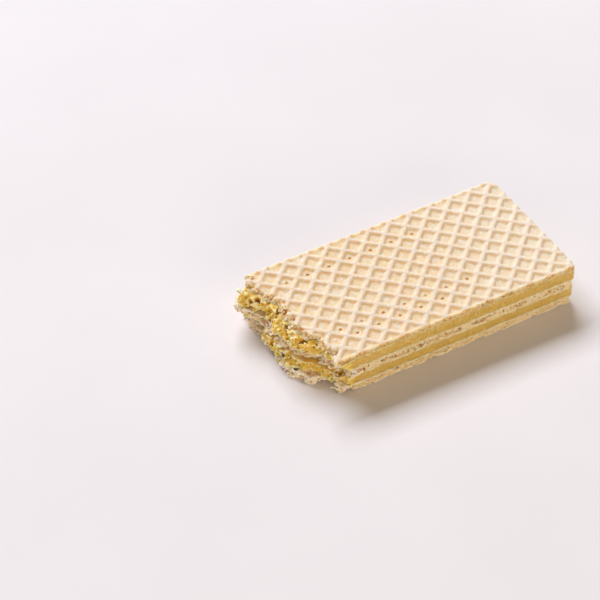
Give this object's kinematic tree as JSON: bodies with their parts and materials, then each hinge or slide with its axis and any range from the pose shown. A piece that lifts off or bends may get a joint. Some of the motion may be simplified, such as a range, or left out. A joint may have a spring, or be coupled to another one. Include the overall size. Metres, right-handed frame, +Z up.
{
  "type": "broken cream wafer biscuit",
  "caption": "Oblong cream-filled protein wafer, snapped across: lattice-embossed wafer sheets with vanilla cream between them and a ragged, crumbly broken end.",
  "frame": {"origin": "middle of the bounding box in plan, on the plane the wafer rests on", "axes": "+X along the wafer towards its unbroken end, +Y across it, +Z up through the layers"},
  "size_m": [0.0816, 0.0406, 0.0129],
  "materials": {
    "wafer": "dry, matt, pale baked wafer with fine pores",
    "cream": "firm fatty vanilla cream, fine grained, faint sheen"
  },
  "bodies": {
    "root": {"bottom_sheet": "wafer", "lower_cream": "cream", "middle_sheet": "wafer", "upper_cream": "cream", "top_sheet": "wafer"}
  },
  "joints": []
}
